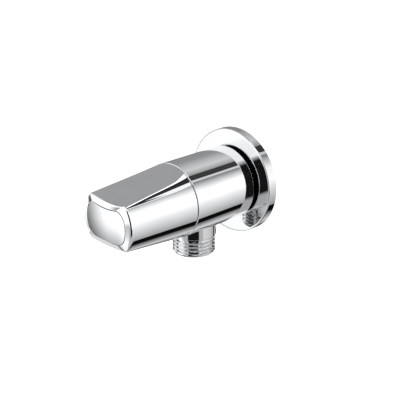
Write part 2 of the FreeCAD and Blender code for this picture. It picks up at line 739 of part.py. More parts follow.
o_ring("cap_oring", "4.69", "0.46", "cap_spigot_s + 1.6")

spline_insert = new_body("spline_insert")
turned(spline_insert, "insert_turned", [
    ("insert_bore_r", "insert_low_s"),
    ("insert_r", "insert_low_s"),
    ("insert_r", "insert_top_s"),
    ("screw_head_r + 0.3", "insert_top_s"),
    ("screw_head_r + 0.3", "insert_web_top_s"),
    ("screw_hole_r + 0.1", "insert_web_top_s"),
    ("screw_hole_r + 0.1", "insert_web_s"),
    ("insert_bore_r", "insert_web_s"),
])
rib = straight(spline_insert, "spline_rib", tooth("stem_root_r + 0.08", "stem_r + 0.2", "0.33"),
               "insert_low_s", "insert_web_s - insert_low_s + 0.1")
repeated(spline_insert, "ribs", rib, "PolarPattern", SPLINE_TEETH,
         Axis=(rib.Profile[0], ["N_Axis"]), Angle=360.0)

handle_screw = new_body("handle_screw")
turned(handle_screw, "screw_turned", [
    ("0", "screw_low_s"),
    ("screw_r - 0.4", "screw_low_s"),
    ("screw_r", "screw_low_s + 0.4"),
    ("screw_r", "insert_web_top_s + 0.03"),
    ("screw_head_r", "insert_web_top_s + 0.03"),
    ("screw_head_r", "screw_head_top_s - 0.5"),
    ("screw_head_r - 0.5", "screw_head_top_s"),
    ("0", "screw_head_top_s"),
])
for name, half_x, half_y in (("slot_across", "2", "0.42"), ("slot_along", "0.42", "2")):
    straight(handle_screw, name, rectangle(half_x, half_y),
             "screw_head_top_s - 1.5", "2", cut=True, back=True)

ring("handle_glide_ring", "skirt_r - 0.06", "skirt_neck_r + 0.02", "46.2", "48.8")

# ---- export -----------------------------------------------------------------------------------
doc.recompute()
for item in doc.Objects:
    if "Invalid" in item.State or "Error" in item.State:
        raise RuntimeError("%s did not compute" % item.Name)
os.makedirs("parts", exist_ok=True)
for body in nodes:
    if body.Shape.isNull() or not body.Shape.isValid() or len(body.Shape.Solids) != 1:
        raise RuntimeError("%s is not one valid solid" % body.Label)
    body.Shape.exportStep("parts/%s.step" % body.Label)
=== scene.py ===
import json
import math

import bmesh
import bpy
import numpy as np
from mathutils import Matrix, Vector


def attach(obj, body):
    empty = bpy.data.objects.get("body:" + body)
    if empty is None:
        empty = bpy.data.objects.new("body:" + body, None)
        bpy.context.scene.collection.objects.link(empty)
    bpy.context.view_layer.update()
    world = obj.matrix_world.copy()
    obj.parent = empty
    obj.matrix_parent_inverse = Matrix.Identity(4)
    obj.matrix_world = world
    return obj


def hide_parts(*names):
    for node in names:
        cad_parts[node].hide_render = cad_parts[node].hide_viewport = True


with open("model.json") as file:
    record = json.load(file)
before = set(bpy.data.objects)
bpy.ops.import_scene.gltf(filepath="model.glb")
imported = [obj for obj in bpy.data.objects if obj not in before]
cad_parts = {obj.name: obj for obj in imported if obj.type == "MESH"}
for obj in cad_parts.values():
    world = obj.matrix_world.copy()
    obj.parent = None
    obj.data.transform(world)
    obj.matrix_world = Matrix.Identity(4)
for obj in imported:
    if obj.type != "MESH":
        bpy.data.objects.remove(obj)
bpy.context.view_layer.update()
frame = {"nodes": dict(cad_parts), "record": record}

MM = 0.001
TURN = 2 * math.pi
# Steps round a turned piece, round the bars that cut it, along a rounding and along one thread.
LATHE_STEPS, CUTTER_STEPS, ROUND_STEPS, THREAD_STEPS = 256, 192, 5, 16
# Where the rows beside a rounding stand, as a share of it, and the most of an edge it may use.
SUPPORT_REACH, ROUND_LIMIT = 1.25, 0.4
SHARP_ANGLE = math.radians(32.0)

# Sizes in millimetres, as in the CAD: s is the distance out from the wall, w the distance below
# the valve axis, r a radius.
BODY_R = 18.3
BODY_REAR_S, BODY_FRONT_S = 7.1, 44.6
BODY_EDGE = 0.45
BODY_RINGS = np.arange(9.0, 43.1, 1.0)
NECK_R, NECK_END_S = 12.0, 0.9
SKIRT_NECK_R, SKIRT_NECK_S = 15.4, 49.9
BONNET_LEAD_R, BONNET_LEAD_S, BONNET_BORE_R = 11.58, 49.3, 10.98
CHAMBER_FLOOR_S, CHAMBER_TAPER_S = 24.4, 23.2
SEAT_BORE_R, SEAT_S = 9.2, 19.0
WATERWAY_R = 6.0
THREAD_R, THREAD_ROOT_R, PITCH = 10.4775, 9.316, 1.814
CREST_SHARE, ROOT_SHARE = 0.17, 0.14
THREAD_CHAMFER = 0.9
THREAD_TIP_R = THREAD_R - THREAD_CHAMFER
RUN_OUT = 0.6
INLET_TIP_S, INLET_RELIEF_S, RELIEF_ROOT_S = -17.0, -1.4, -0.8
INLET_THREAD_CUT, OUTLET_THREAD_CUT = (-18.0, -1.5), (21.3, 28.5)
OUTLET_S, OUTLET_NECK_W, OUTLET_TIP_W = 30.3, 20.6, 30.0
OUTLET_NECK_R, OUTLET_NECK_RINGS = 11.0, (16.5, 18.5)
OUTLET_SHOULDER_W = 14.5
OUTLET_SCREW_R, OUTLET_SCREW_W = 8.0, 11.3
OUTLET_BEVEL_R, OUTLET_BEVEL_W = 6.5, 29.5
# The holes cut in the body for the outlet: radius, and the distances w that they span.
WIDE_CUT, NARROW_CUT = (11.1, 13.2, 25.0), (8.05, 0.0, 14.0)
FLANGE_R, FLANGE_FACE_S, FLANGE_EDGE = 26.5, 5.2, 0.9
FLANGE_INNER_R, FLANGE_INNER_S = 24.9, 3.6
FLANGE_RIM_RINGS, FLANGE_FACE_RINGS = (1.6, 3.2), (24.0, 20.0, 16.0)
HUB_R, HUB_BORE_R, HUB_REAR_S = 15.6, 12.3, 0.6
HUB_GROOVE_R, HUB_GROOVE_START_S, HUB_GROOVE_END_S = 13.4, 2.3, 3.8


def out_of_wall(x, up, s):
    """A point given by its place across, its height and its distance from the wall."""
    return np.stack([x, -s, up], -1) * MM


def ring_points(radius, s):
    """Points on a circle about the valve axis, or on a curve when the radius is an array."""
    turn = np.arange(LATHE_STEPS) / LATHE_STEPS * TURN
    radius = np.broadcast_to(radius, turn.shape)
    return out_of_wall(radius * np.cos(turn), radius * np.sin(turn), np.full(LATHE_STEPS, s))


def outlet_points(radius, w, steps=LATHE_STEPS):
    """Points about the outlet's axis, at a distance w below the valve axis."""
    turn = np.arange(steps) / steps * TURN
    radius = np.broadcast_to(radius, turn.shape)
    x, y = radius * np.cos(turn), radius * np.sin(turn)
    return np.stack([x, y - OUTLET_S, np.full(steps, -w)], -1) * MM


def rounded_rows(keys, radii, closed):
    """Rows of points through the key rows, with each corner rounded and held by a support row."""
    count = len(keys)
    rows = []
    for i, (row, radius) in enumerate(zip(keys, radii)):
        if radius <= 0 or (not closed and i in (0, count - 1)):
            rows.append(row)
            continue
        before, after = keys[i - 1] - row, keys[(i + 1) % count] - row
        long_before = np.linalg.norm(before, axis=1, keepdims=True)
        long_after = np.linalg.norm(after, axis=1, keepdims=True)
        before, after = before / long_before, after / long_after
        reach = np.minimum(radius * MM, ROUND_LIMIT * np.minimum(long_before, long_after))
        rows.append(row + before * reach * SUPPORT_REACH)
        for step in range(ROUND_STEPS + 1):
            t = step / ROUND_STEPS
            start, end = row + before * reach, row + after * reach
            rows.append((1 - t) ** 2 * start + 2 * t * (1 - t) * row + t * t * end)
        rows.append(row + after * reach * SUPPORT_REACH)
    return rows


def shell(name, rows, body, node, capped=False):
    """A mesh through looped rows of points, standing for a CAD node.

    The last row joins the first, unless both are capped with a face.
    """
    grid = np.array(rows)
    levels, around = grid.shape[:2]
    faces = []
    for i in range(levels - 1 if capped else levels):
        j = (i + 1) % levels
        for k in range(around):
            m = (k + 1) % around
            faces.append((i * around + k, j * around + k, j * around + m, i * around + m))
    if capped:
        faces.append(tuple(range(around)))
        faces.append(tuple(reversed(range((levels - 1) * around, levels * around))))
    mesh = bpy.data.meshes.new(name)
    mesh.from_pydata([tuple(p) for p in grid.reshape(-1, 3)], [], faces)
    mesh.validate()
    piece = bpy.data.objects.new(name, mesh)
    bpy.context.scene.collection.objects.link(piece)
    outward(piece)
    mesh.shade_smooth()
    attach(piece, body)
    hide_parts(node)
    return piece


def outward(piece):
    """Turn the faces of a closed mesh outward."""
    work = bmesh.new()
    work.from_mesh(piece.data)
    bmesh.ops.recalc_face_normals(work, faces=work.faces)
    work.to_mesh(piece.data)
    work.free()


def lathe_keys(corners, points):
    """Key rows and corner radii from (radius, distance, rounding) corners."""
    return [points(r, s) for r, s, _ in corners], [rounding for _, _, rounding in corners]


def thread_rows(points, start, end, cut_start, cut_end):
    """Rows of a helical pipe thread along an axis, cut only between two distances."""
    turn = np.arange(LATHE_STEPS) / LATHE_STEPS
    count = int((end - start) / PITCH * THREAD_STEPS)
    tip = max(start, end, key=abs)
    rows = []
    for along in np.linspace(start, end, count + 1):
        away = np.abs((along / PITCH - turn) % 1.0 - 0.5) * 2
        flank = np.clip((away - ROOT_SHARE) / (1 - ROOT_SHARE - CREST_SHARE), 0, 1)
        fade = np.clip(min(along - cut_start, cut_end - along) / RUN_OUT, 0, 1)
        radius = THREAD_R - (THREAD_R - THREAD_ROOT_R) * (1 - flank) * fade
        limit = THREAD_TIP_R + min(abs(along - tip), THREAD_CHAMFER)
        rows.append(points(np.minimum(radius, limit), along))
    return rows


def sharpen(piece):
    """Keep shading smooth except across real corners."""
    piece.data.set_sharp_from_angle(angle=SHARP_ANGLE)


# ---- sections of the handle -------------------------------------------------------------------
SIDE_STEPS, FACET_STEPS, CORNER_STEPS = 56, 8, 5
# The most of a side that a softened corner may use.
TRIM_LIMIT = 0.3
# Samples along an outline that is averaged, and how far the averaging spreads in millimetres.
SOFT_SAMPLES = 1600
FRONT_SOFT, PLATE_SOFT = 1.3, 0.9


def through(start, middle, end):
    """A function of t from 0 to 1 along the arc through three points, or along a straight line."""
    start, end = np.array(start, float), np.array(end, float)
    if middle is None:
        return lambda t: start + np.outer(t, end - start)
    middle = np.array(middle, float)
    (ax, ay), (bx, by), (cx, cy) = start, middle, end
    d = 2 * (ax * (by - cy) + bx * (cy - ay) + cx * (ay - by))
    squares = (ax * ax + ay * ay, bx * bx + by * by, cx * cx + cy * cy)
    centre = np.array([
        (squares[0] * (by - cy) + squares[1] * (cy - ay) + squares[2] * (ay - by)) / d,
        (squares[0] * (cx - bx) + squares[1] * (ax - cx) + squares[2] * (bx - ax)) / d,
    ])
    radius = np.linalg.norm(start - centre)
    first = math.atan2(*(start - centre)[::-1])
    half = math.atan2(*(middle - centre)[::-1])
    last = math.atan2(*(end - centre)[::-1])
    sweep = (last - first + math.pi) % TURN - math.pi
    if abs((half - first + math.pi) % TURN - math.pi) > abs(sweep):
        sweep -= math.copysign(TURN, sweep)

    def arc(t):
        angle = first + np.asarray(t) * sweep
        return centre + radius * np.stack([np.cos(angle), np.sin(angle)], -1)

    return arc


def section(mid_top, top, side, side_r, low_side, low, mid_low, inset=0.0, corner=0.8,
            bulge=0.0):
    """The handle's outline: four curved sides joined by four narrow facets, corners softened."""
    shrink = np.array([inset, inset])
    top, side, low_side, low = (np.array(p) - shrink for p in (top, side, low_side, low))
    mid_top, side_r, mid_low = mid_top - inset, side_r - inset, mid_low - inset
    flip = np.array([-1, 1])
    corners = [top, top * flip, side * flip, -low_side, -low, low * -flip, low_side * -flip, side]
    middles = [(0, mid_top), None, (-side_r, 0), None, (0, -mid_low), None, (side_r, 0), None]
    steps = [SIDE_STEPS, FACET_STEPS] * 4
    edges, trims = [], []
    for i, middle in enumerate(middles):
        start, end = corners[i], corners[(i + 1) % len(corners)]
        if middle is None and bulge:
            across = (end - start) / np.linalg.norm(end - start)
            middle = (start + end) / 2 + bulge * np.array([across[1], -across[0]])
        edges.append(through(start, middle, end))
        trims.append(min(corner / np.linalg.norm(end - start), TRIM_LIMIT))
    points = []
    for i, edge in enumerate(edges):
        after = (i + 1) % len(edges)
        points.append(edge(np.linspace(trims[i], 1 - trims[i], steps[i])))
        a, b = points[-1][-1], edges[after](np.array([trims[after]]))[0]
        t = (np.arange(1, CORNER_STEPS) / CORNER_STEPS)[:, None]
        points.append((1 - t) ** 2 * a + 2 * t * (1 - t) * corners[after] + t * t * b)
    return np.concatenate(points)


def softened(outline, spread):
    """The outline averaged along its own length, which rounds its corners."""
    closed = np.concatenate([outline, outline[:1]])
    lengths = np.concatenate([[0], np.cumsum(np.linalg.norm(np.diff(closed, axis=0), axis=1))])
    total = lengths[-1]
    even = np.arange(SOFT_SAMPLES) / SOFT_SAMPLES * total
    dense = np.stack([np.interp(even, lengths, closed[:, k]) for k in (0, 1)], -1)
    away = (even[None, :] - lengths[:-1, None] + total / 2) % total - total / 2
    weight = np.exp(-0.5 * (away / spread) ** 2)
    return weight @ dense / weight.sum(axis=1, keepdims=True)


def at(outline, s):
    """An outline placed at a distance from the wall."""
    return out_of_wall(outline[:, 0], outline[:, 1], np.broadcast_to(s, len(outline)))


def round_like(outline, radius):
    """A circle whose points lie in the same directions as an outline's."""
    return outline / np.linalg.norm(outline, axis=1, keepdims=True) * radius


# ---- pieces -----------------------------------------------------------------------------------
def cutter(name, radius, high, low):
    """A round bar along the outlet's axis, used to cut the body and then thrown away."""
    rows = [outlet_points(radius, w, CUTTER_STEPS) for w in (high, low)]
    mesh = bpy.data.meshes.new(name)
    count = len(rows[0])
    faces = [(k, (k + 1) % count, count + (k + 1) % count, count + k) for k in range(count)]
    faces += [tuple(reversed(range(count))), tuple(range(count, 2 * count))]
    mesh.from_pydata([tuple(p) for p in np.concatenate(rows)], [], faces)
    bar = bpy.data.objects.new(name, mesh)
    bpy.context.scene.collection.objects.link(bar)
    outward(bar)
    return bar


def cut(piece, bars):
    """Cut bars out of a piece and keep the result as its own mesh."""
    for bar in bars:
        modifier = piece.modifiers.new("cut", "BOOLEAN")
        modifier.operation = "DIFFERENCE"
        modifier.solver = "EXACT"
        modifier.object = bar
    bpy.context.view_layer.update()
    seen = piece.evaluated_get(bpy.context.evaluated_depsgraph_get())
    mesh = bpy.data.meshes.new_from_object(seen)
    piece.modifiers.clear()
    piece.data = mesh
    for bar in bars:
        bpy.data.objects.remove(bar)


# How close to a cylinder, and how squarely outward, a face must be to be shaded as part of it.
ROUND_TOLERANCE, ROUND_FACING = 0.05, 0.98
# How many edge roundings the shading keeps away from the body's ends.
EDGE_CLEAR = 1.2


def true_normals(piece, radius, low_s, high_s):
    """Shade the faces of a turned cylinder as exactly round, whatever was cut out of them."""
    mesh = piece.data
    normals = [Vector(n.vector) for n in mesh.corner_normals]
    for face in mesh.polygons:
        centre = face.center / MM
        if not (low_s < -centre.y < high_s):
            continue
        away = Vector((centre.x, 0, centre.z))
        facing = face.normal.dot(away.normalized())
        if abs(away.length - radius) > ROUND_TOLERANCE or facing < ROUND_FACING:
            continue
        for loop in face.loop_indices:
            place = mesh.vertices[mesh.loops[loop].vertex_index].co
            normals[loop] = Vector((place.x, 0, place.z)).normalized()
    mesh.normals_split_custom_set(normals)


def make_body():
    front = [
        (THREAD_R, INLET_RELIEF_S, 0), (THREAD_ROOT_R, RELIEF_ROOT_S, 0),
        (THREAD_ROOT_R, NECK_END_S, 0), (NECK_R, NECK_END_S, 0.15), (NECK_R, BODY_REAR_S, 0),
        (BODY_R, BODY_REAR_S, BODY_EDGE),
    ]
    along = [(BODY_R, s, 0) for s in BODY_RINGS]
    rest = [
        (BODY_R, BODY_FRONT_S, BODY_EDGE), (SKIRT_NECK_R, BODY_FRONT_S, 0),
        (SKIRT_NECK_R, SKIRT_NECK_S, 0.4), (BONNET_LEAD_R, SKIRT_NECK_S, 0.2),
        (BONNET_BORE_R, BONNET_LEAD_S, 0.1), (BONNET_BORE_R, CHAMBER_FLOOR_S, 0),
        (SEAT_BORE_R, CHAMBER_TAPER_S, 0), (SEAT_BORE_R, SEAT_S, 0), (WATERWAY_R, SEAT_S, 0.1),
        (WATERWAY_R, INLET_TIP_S, 0.2), (THREAD_TIP_R, INLET_TIP_S, 0),
    ]
    keys, radii = lathe_keys(front + along + rest, ring_points)
    thread = thread_rows(ring_points, INLET_TIP_S, INLET_RELIEF_S, *INLET_THREAD_CUT)
    rows = thread[1:-1] + rounded_rows(keys, radii, False)
    piece = shell("valve_body_skin", rows, "valve", "valve_body")
    cut(piece, [cutter("wide_cut", *WIDE_CUT), cutter("narrow_cut", *NARROW_CUT)])
    sharpen(piece)
    clear = EDGE_CLEAR * BODY_EDGE
    true_normals(piece, BODY_R, BODY_REAR_S + clear, BODY_FRONT_S - clear)
    return piece


def make_outlet():
    corners = [
        (THREAD_TIP_R, OUTLET_TIP_W, 0), (OUTLET_BEVEL_R, OUTLET_TIP_W, 0.15),
        (WATERWAY_R, OUTLET_BEVEL_W, 0.1), (WATERWAY_R, OUTLET_SCREW_W, 0.1),
        (OUTLET_SCREW_R, OUTLET_SCREW_W, 0.3), (OUTLET_SCREW_R, OUTLET_SHOULDER_W, 0),
        (OUTLET_NECK_R, OUTLET_SHOULDER_W, 0.15),
    ]
    corners += [(OUTLET_NECK_R, w, 0) for w in OUTLET_NECK_RINGS]
    corners += [(OUTLET_NECK_R, OUTLET_NECK_W, 0.3), (THREAD_R, OUTLET_NECK_W, 0)]
    keys, radii = lathe_keys(corners, outlet_points)
    thread = thread_rows(outlet_points, OUTLET_NECK_W, OUTLET_TIP_W, *OUTLET_THREAD_CUT)
    piece = shell("outlet_nipple_skin", rounded_rows(keys, radii, False) + thread[1:-1],
                  "valve", "outlet_nipple")
    sharpen(piece)
    return piece


def make_flange():
    corners = [
        (HUB_BORE_R, HUB_REAR_S, 0.1), (HUB_R, HUB_REAR_S, 0.1), (HUB_R, FLANGE_INNER_S, 0),
        (FLANGE_INNER_R, FLANGE_INNER_S, 0.2), (FLANGE_INNER_R, 0.0, 0.1), (FLANGE_R, 0.0, 0.1),
    ]
    corners += [(FLANGE_R, s, 0) for s in FLANGE_RIM_RINGS]
    corners += [(FLANGE_R, FLANGE_FACE_S, FLANGE_EDGE)]
    corners += [(r, FLANGE_FACE_S, 0) for r in FLANGE_FACE_RINGS]
    corners += [
        (HUB_BORE_R, FLANGE_FACE_S, 0.2), (HUB_BORE_R, HUB_GROOVE_END_S, 0),
        (HUB_GROOVE_R, HUB_GROOVE_END_S, 0), (HUB_GROOVE_R, HUB_GROOVE_START_S, 0),
        (HUB_BORE_R, HUB_GROOVE_START_S, 0),
    ]
    keys, radii = lathe_keys(corners, ring_points)
    piece = shell("escutcheon_skin", rounded_rows(keys, radii, True), "valve", "escutcheon")
    sharpen(piece)
    return piece


# The handle's outlines at five distances, as section() takes them.
SEAM_SECTION = (18.3, (10.757, 14.805), (14.42, 11.267), 18.3,
                (14.42, 11.267), (10.757, 14.805), 18.3)
FRONT_SECTION = (9.4, (12.2, 11.25), (13.2, 10.4), 16.8, (13.3, 10.25), (12.2, 11.0), 11.5)
PLATE_SECTION = (7.25, (8.9, 8.3), (12.2, 5.9), 13.55, (11.9, 6.45), (9.1, 8.45), 8.75)
CAVITY_SECTION = (14.9, (8.758, 12.054), (11.741, 9.174), 14.9,
                  (11.741, 9.174), (8.758, 12.054), 14.9)
CAVITY_END_SECTION = (8.9, (9.4, 9.2), (10.9, 8.0), 14.2, (10.9, 8.0), (9.4, 9.2), 9.6)
HANDLE_REAR_S, HANDLE_FRONT_S, BEZEL_S = 45.0, 84.0, 85.1
SEAM_BULGE, FRONT_BULGE = 0.17, 0.24
HANDLE_STATIONS = 15
FRONT_EDGE, FRAME_EDGE, REAR_EDGE = 1.1, 0.3, 0.3
CAVITY_REAR_S, CAVITY_END_S, BOSS_MEETS_S = 50.6, 76.0, 70.8
SKIRT_R, BOSS_R, BOSS_LOW_S = 15.76, 10.0, 62.0
POCKET_R, INSERT_R = 5.2, 7.63
CAP_GAP, CAP_FLOOR_S, CAP_BACK_S = 0.25, 82.5, 82.7
# The cap's dome falls by CAP_FALL at a radius of CAP_FALL_R.
CAP_TOP_S, CAP_FALL, CAP_FALL_R = 85.5, 0.5, 15.0
CAP_CENTRE_SHARE, CAP_FIRST_SHARE, CAP_RINGS, CAP_EDGE = 0.004, 0.08, 14, 0.16
# The cap's hollow spigot and its groove, as (radius, distance from the wall).
CAP_SPIGOT = ((4.9, CAP_BACK_S), (4.9, 81.6), (4.2, 81.6), (4.2, 80.4), (4.9, 80.4), (4.9, 79.4),
              (3.6, 79.4), (3.6, 82.8), (0.05, 82.8))


def make_handle():
    seam = section(*SEAM_SECTION, corner=0.3, bulge=SEAM_BULGE)
    front = softened(section(*FRONT_SECTION, corner=0.5, bulge=FRONT_BULGE), FRONT_SOFT)
    plate = softened(section(*PLATE_SECTION), PLATE_SOFT)
    keys, radii = [at(seam, HANDLE_REAR_S)], [REAR_EDGE]
    for share in np.linspace(0, 1, HANDLE_STATIONS)[1:-1]:
        middle = seam + (front - seam) * share
        keys.append(at(middle, HANDLE_REAR_S + (HANDLE_FRONT_S - HANDLE_REAR_S) * share))
        radii.append(0)
    keys += [at(front, HANDLE_FRONT_S), at(plate, BEZEL_S), at(plate, CAP_FLOOR_S)]
    radii += [FRONT_EDGE, FRAME_EDGE, 0]
    for radius, s in ((POCKET_R, CAP_FLOOR_S), (POCKET_R, CAVITY_END_S),
                      (INSERT_R, CAVITY_END_S), (INSERT_R, BOSS_LOW_S), (BOSS_R, BOSS_LOW_S),
                      (BOSS_R, BOSS_MEETS_S)):
        keys.append(at(round_like(seam, radius), s))
        radii.append(0)
    cavity, end = section(*CAVITY_SECTION), section(*CAVITY_END_SECTION)
    share = (BOSS_MEETS_S - CAVITY_REAR_S) / (CAVITY_END_S - CAVITY_REAR_S)
    keys += [
        at(cavity + (end - cavity) * share, BOSS_MEETS_S), at(cavity, CAVITY_REAR_S),
        at(round_like(seam, SKIRT_R), CAVITY_REAR_S),
        at(round_like(seam, SKIRT_R), HANDLE_REAR_S),
    ]
    radii += [0.3, 0, 0, 0.15]
    piece = shell("handle_skin", rounded_rows(keys, radii, True), "knob", "handle")
    sharpen(piece)
    return piece


def make_cap():
    outline = softened(section(*PLATE_SECTION, inset=CAP_GAP), PLATE_SOFT)
    keys = []
    for share in [CAP_CENTRE_SHARE] + list(np.linspace(CAP_FIRST_SHARE, 1, CAP_RINGS)):
        flat = outline * share
        dome = CAP_TOP_S - CAP_FALL * np.sum(flat * flat, axis=1) / CAP_FALL_R ** 2
        keys.append(at(flat, dome))
    radii = [0] * (len(keys) - 1) + [CAP_EDGE]
    keys.append(at(outline, CAP_BACK_S))
    radii.append(0.1)
    for radius, s in CAP_SPIGOT:
        keys.append(at(round_like(outline, radius), s))
        radii.append(0)
    piece = shell("handle_cap_skin", rounded_rows(keys, radii, False), "knob", "handle_cap",
                  capped=True)
    sharpen(piece)
    return piece


# ---- materials --------------------------------------------------------------------------------
# Where the noise is cut to tint and to vary the gloss, and how fine each noise is for its grain.
TINT_FROM, TINT_TO, GLOSS_FROM, GLOSS_TO = 0.35, 0.65, 0.3, 0.7
TINT_DETAIL, GLOSS_FINER, GLOSS_DETAIL, RELIEF_FINER, RELIEF_DETAIL = 3.0, 1.7, 4.0, 6, 2.0
RELIEF_DEPTH = 0.02 * MM
# Chrome: its blue cast, the spread of its brightness and gloss, its grain and its relief.
CHROME_CAST, CHROME_SPREAD, CHROME_HAZE = -0.012, 0.02, 0.35
CHROME_GRAIN, CHROME_RELIEF = 90.0, 0.012
TURNED = (1, 12, 1)


def grey(level, warm=0.0):
    """A grey, slightly warm when warm is above 0 and slightly blue below."""
    return (level * (1 + warm), level, level * (1 - warm), 1.0)


def surface(name, metallic, roughness, color_low, color_high, grain, rough_spread, bump,
            stretch=(1, 1, 1), coat=0.0, specular=0.5):
    """A shader whose colour, gloss and relief each vary with noise in the object's own space."""
    material = bpy.data.materials.new(name)
    material.use_nodes = True
    nodes, links = material.node_tree.nodes, material.node_tree.links
    shader = nodes["Principled BSDF"]
    shader.inputs["Metallic"].default_value = metallic
    shader.inputs["Coat Weight"].default_value = coat
    shader.inputs["Specular IOR Level"].default_value = specular
    place = nodes.new("ShaderNodeTexCoord")
    mapping = nodes.new("ShaderNodeMapping")
    mapping.inputs["Scale"].default_value = stretch
    links.new(place.outputs["Object"], mapping.inputs["Vector"])

    def noise(scale, detail):
        node = nodes.new("ShaderNodeTexNoise")
        node.inputs["Scale"].default_value = scale
        node.inputs["Detail"].default_value = detail
        links.new(mapping.outputs["Vector"], node.inputs["Vector"])
        return node.outputs["Fac"]

    tint = nodes.new("ShaderNodeValToRGB")
    for stop, position, color in zip(tint.color_ramp.elements, (TINT_FROM, TINT_TO),
                                     (color_low, color_high)):
        stop.position, stop.color = position, color
    links.new(noise(grain, TINT_DETAIL), tint.inputs["Fac"])
    links.new(tint.outputs["Color"], shader.inputs["Base Color"])
    gloss = nodes.new("ShaderNodeMapRange")
    gloss.inputs["From Min"].default_value = GLOSS_FROM
    gloss.inputs["From Max"].default_value = GLOSS_TO
    gloss.inputs["To Min"].default_value = roughness - rough_spread
    gloss.inputs["To Max"].default_value = roughness + rough_spread
    links.new(noise(grain * GLOSS_FINER, GLOSS_DETAIL), gloss.inputs["Value"])
    links.new(gloss.outputs["Result"], shader.inputs["Roughness"])
    relief = nodes.new("ShaderNodeBump")
    relief.inputs["Strength"].default_value = bump
    relief.inputs["Distance"].default_value = RELIEF_DEPTH
    links.new(noise(grain * RELIEF_FINER, RELIEF_DETAIL), relief.inputs["Height"])
    links.new(relief.outputs["Normal"], shader.inputs["Normal"])
    return material


def chrome(name, level, roughness):
    """Bright plating: a faint bluish grey with hardly any haze or orange peel."""
    return surface(name, 1.0, roughness, grey(level - CHROME_SPREAD, CHROME_CAST),
                   grey(level + CHROME_SPREAD, CHROME_CAST), CHROME_GRAIN,
                   roughness * CHROME_HAZE, CHROME_RELIEF)


MATERIALS = {
    "body": chrome("body_chrome", 0.86, 0.03),
    "outlet": chrome("outlet_chrome", 0.75, 0.03),
    "flange": chrome("flange_chrome", 0.76, 0.028),
    "handle": chrome("handle_chrome", 0.86, 0.035),
    "cap": chrome("cap_chrome", 0.86, 0.04),
    "rubber": surface("black_rubber", 0.0, 0.55, grey(0.012), grey(0.022), 900.0, 0.08, 0.3),
    "foam": surface("foam_rubber", 0.0, 0.9, grey(0.035), grey(0.075), 1500.0, 0.06, 0.9),
    "ptfe": surface("white_ptfe", 0.0, 0.38, grey(0.80, 0.01), grey(0.88, 0.01), 500.0, 0.06,
                    0.15),
    "brass": surface("turned_brass", 1.0, 0.24, (0.70, 0.47, 0.20, 1), (0.80, 0.58, 0.27, 1),
                     260.0, 0.07, 0.25, stretch=TURNED),
    "steel": surface("turned_steel", 1.0, 0.28, grey(0.50), grey(0.60), 260.0, 0.07, 0.25,
                     stretch=TURNED),
    "spring_steel": surface("spring_steel", 1.0, 0.35, grey(0.30), grey(0.42), 500.0, 0.08, 0.2),
    "ceramic": surface("lapped_ceramic", 0.0, 0.16, grey(0.80, 0.02), grey(0.88, 0.02), 1200.0,
                       0.05, 0.05, coat=0.3),
    "acetal": surface("moulded_acetal", 0.0, 0.42, grey(0.70, 0.02), grey(0.78, 0.02), 700.0,
                      0.07, 0.2),
}


def dress(piece, material):
    """Give every face of a piece one material."""
    if not piece.material_slots:
        piece.data.materials.append(material)
    for slot in piece.material_slots:
        slot.material = material


SKINS = {
    "body": make_body(), "outlet": make_outlet(), "flange": make_flange(),
    "handle": make_handle(), "cap": make_cap(),
}
for slot_name, skin in SKINS.items():
    dress(skin, MATERIALS[slot_name])
slot_of = {part["node"]: part["material_slot"] for part in frame["record"]["subparts"]}
for node_name, node in frame["nodes"].items():
    dress(node, MATERIALS[slot_of[node_name]])

# ---- studio -----------------------------------------------------------------------------------
# What the polished metal reflects. Each card is a wall of the studio that runs along the valve,
# from one angle to another about its axis (0 is +X, 90 is up), with its brightness at each end.
CARDS = (
    (-180, -150, 0.30, 0.08),
    (-150, -124, 0.08, 0.07),
    (-124, -102, 0.07, 0.75),
    (-102, -76, 0.75, 0.12),
    (-76, -59, 0.005, 0.002),
    (-59, -14, 0.38, 0.98),
    (-14, 2, 0.98, 1.30),
    (2, 27, 1.30, 1.20),
    (27, 57, 1.20, 0.20),
    (57, 64, 0.55, 0.85),
    (64, 81, 0.045, 0.05),
    (81, 100, 0.36, 0.70),
    (100, 142, 0.70, 0.32),
    (142, 180, 0.32, 0.28),
)
CARD_EDGE = 0.6
# The brightness of the studio's front, and of the even light that matt surfaces receive.
FRONT_LEVEL, EVEN_LIGHT = 1.32, 1.2
# The direction's Y part where the front gives way to the cards.
WALLS_START, WALLS_FULL = 0.0, 0.14
# Darker parts of the studio in front of the valve, each given by a compass range in degrees, a
# height range from -1 (straight down) to 1, their soft edges, and a brightness.
FRONT_PANELS = (
    (-200, 200, -1.1, -0.86, 2, 0.12, 0.30),
    (-200, 200, 0.94, 1.1, 2, 0.08, 0.35),
    (-200, -135, -0.90, -0.41, 6, 0.10, 0.50),
    (-200, -135, -0.90, -0.56, 6, 0.10, 0.82),
    (-161, -145.5, -0.75, 0.30, 13, 0.10, 0.10),
    (-106, 40, -0.90, -0.25, 14, 0.10, 0.55),
    (-75, -17, -0.56, 0.68, 5, 0.14, 0.01),
)
# What the handle's top and upper edges reflect: a bright slit on either side of a dark flag, and
# a grey ceiling panel. Each is given by a range round the valve axis in degrees, a range of the
# direction's Y part, and a brightness.
OVERHEAD = (
    (52, 61, 0.35, 0.60, 1.10),
    (61, 77, 0.35, 0.61, 0.03),
    (91, 181, 0.35, 0.61, 0.38),
    (77, 91, 0.35, 0.61, 1.80),
)
OVERHEAD_TURN_EDGE, OVERHEAD_REACH_EDGE = 0.02, 0.015


